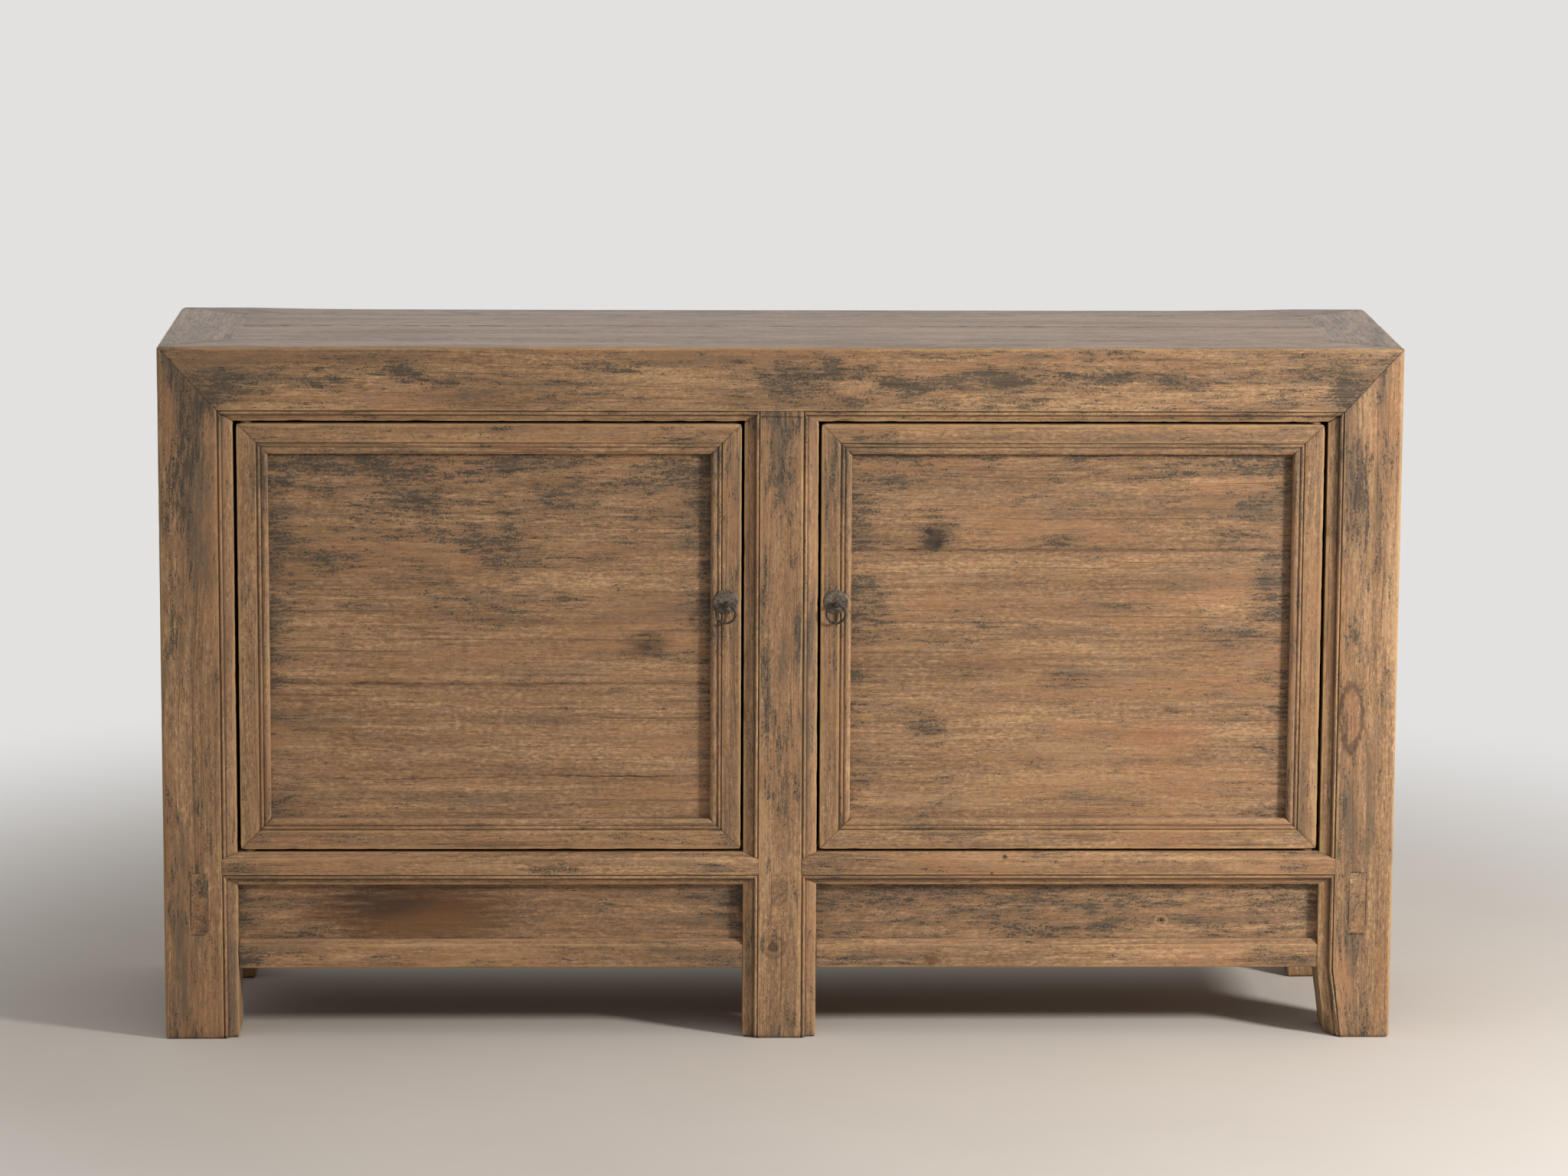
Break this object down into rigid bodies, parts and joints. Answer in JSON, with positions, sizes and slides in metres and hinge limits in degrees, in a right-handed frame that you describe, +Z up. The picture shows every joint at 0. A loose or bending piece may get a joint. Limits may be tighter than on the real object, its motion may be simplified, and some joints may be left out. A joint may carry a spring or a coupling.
{
  "type": "chinese sideboard",
  "caption": "Low weathered wooden sideboard with a mitred frame, pivot-hung panelled doors either side of a centre post, ring pulls, recessed apron panels and straight square legs.",
  "frame": {"origin": "on the floor, under the middle of the case", "axes": "+X along the front to the viewer's right, +Y from the front to the back, +Z up"},
  "size_m": [1.6, 0.4222, 0.91],
  "materials": {
    "frame_wood": "worn, dry brown wood with dark traces of old lacquer along the grain",
    "door_wood": "worn, dry brown wood, darker in the mouldings",
    "board_wood": "worn brown boards with grey-black streaks and knots",
    "iron": "forged, dark, slightly rusted"
  },
  "bodies": {
    "case": {"back_board_left_lower": "board_wood", "back_board_left_upper": "board_wood", "back_board_right_lower": "board_wood", "back_board_right_upper": "board_wood", "floor_bearer": "board_wood", "floor_board_front": "board_wood", "floor_board_middle": "board_wood", "floor_board_rear": "board_wood", "front_apron_panel_left": "board_wood", "front_apron_panel_right": "board_wood", "front_apron_rail_left": "frame_wood", "front_apron_rail_right": "frame_wood", "front_centre_post": "frame_wood", "front_left_post": "frame_wood", "front_lower_rail_left": "frame_wood", "front_lower_rail_right": "frame_wood", "front_right_post": "frame_wood", "front_top_rail": "frame_wood", "left_lower_rail": "frame_wood", "left_side_panel": "board_wood", "left_top_rail": "frame_wood", "rear_centre_stile": "frame_wood", "rear_left_post": "frame_wood", "rear_lower_rail": "frame_wood", "rear_right_post": "frame_wood", "rear_top_rail": "frame_wood", "right_lower_rail": "frame_wood", "right_side_panel": "board_wood", "right_top_rail": "frame_wood", "top_batten_left": "board_wood", "top_batten_right": "board_wood", "top_board_front": "board_wood", "top_board_rear": "board_wood"},
    "left_door": {"left_door_batten": "board_wood", "left_door_bottom_rail": "door_wood", "left_door_hinge_stile": "door_wood", "left_door_latch_stile": "door_wood", "left_door_lower_board": "board_wood", "left_door_top_rail": "door_wood", "left_door_upper_board": "board_wood", "left_pull_plate": "iron", "left_pull_pin": "iron"},
    "right_door": {"right_door_batten": "board_wood", "right_door_bottom_rail": "door_wood", "right_door_hinge_stile": "door_wood", "right_door_latch_stile": "door_wood", "right_door_lower_board": "board_wood", "right_door_top_rail": "door_wood", "right_door_upper_board": "board_wood", "right_pull_plate": "iron", "right_pull_pin": "iron"},
    "left_ring": {"left_pull_ring": "iron"},
    "right_ring": {"right_pull_ring": "iron"}
  },
  "joints": [
    {"name": "left_door_hinge", "type": "hinge", "parent": "case", "child": "left_door", "pos_m": [-0.688, -0.189, 0.53], "axis": [0, 0, -1], "range_deg": [0, 100]},
    {"name": "right_door_hinge", "type": "hinge", "parent": "case", "child": "right_door", "pos_m": [0.688, -0.189, 0.53], "axis": [0, 0, 1], "range_deg": [0, 100]},
    {"name": "left_ring_swing", "type": "hinge", "parent": "left_door", "child": "left_ring", "pos_m": [-0.071, -0.208, 0.5755], "axis": [-1, 0, 0], "range_deg": [0, 150]},
    {"name": "right_ring_swing", "type": "hinge", "parent": "right_door", "child": "right_ring", "pos_m": [0.071, -0.208, 0.5755], "axis": [-1, 0, 0], "range_deg": [0, 150]}
  ]
}
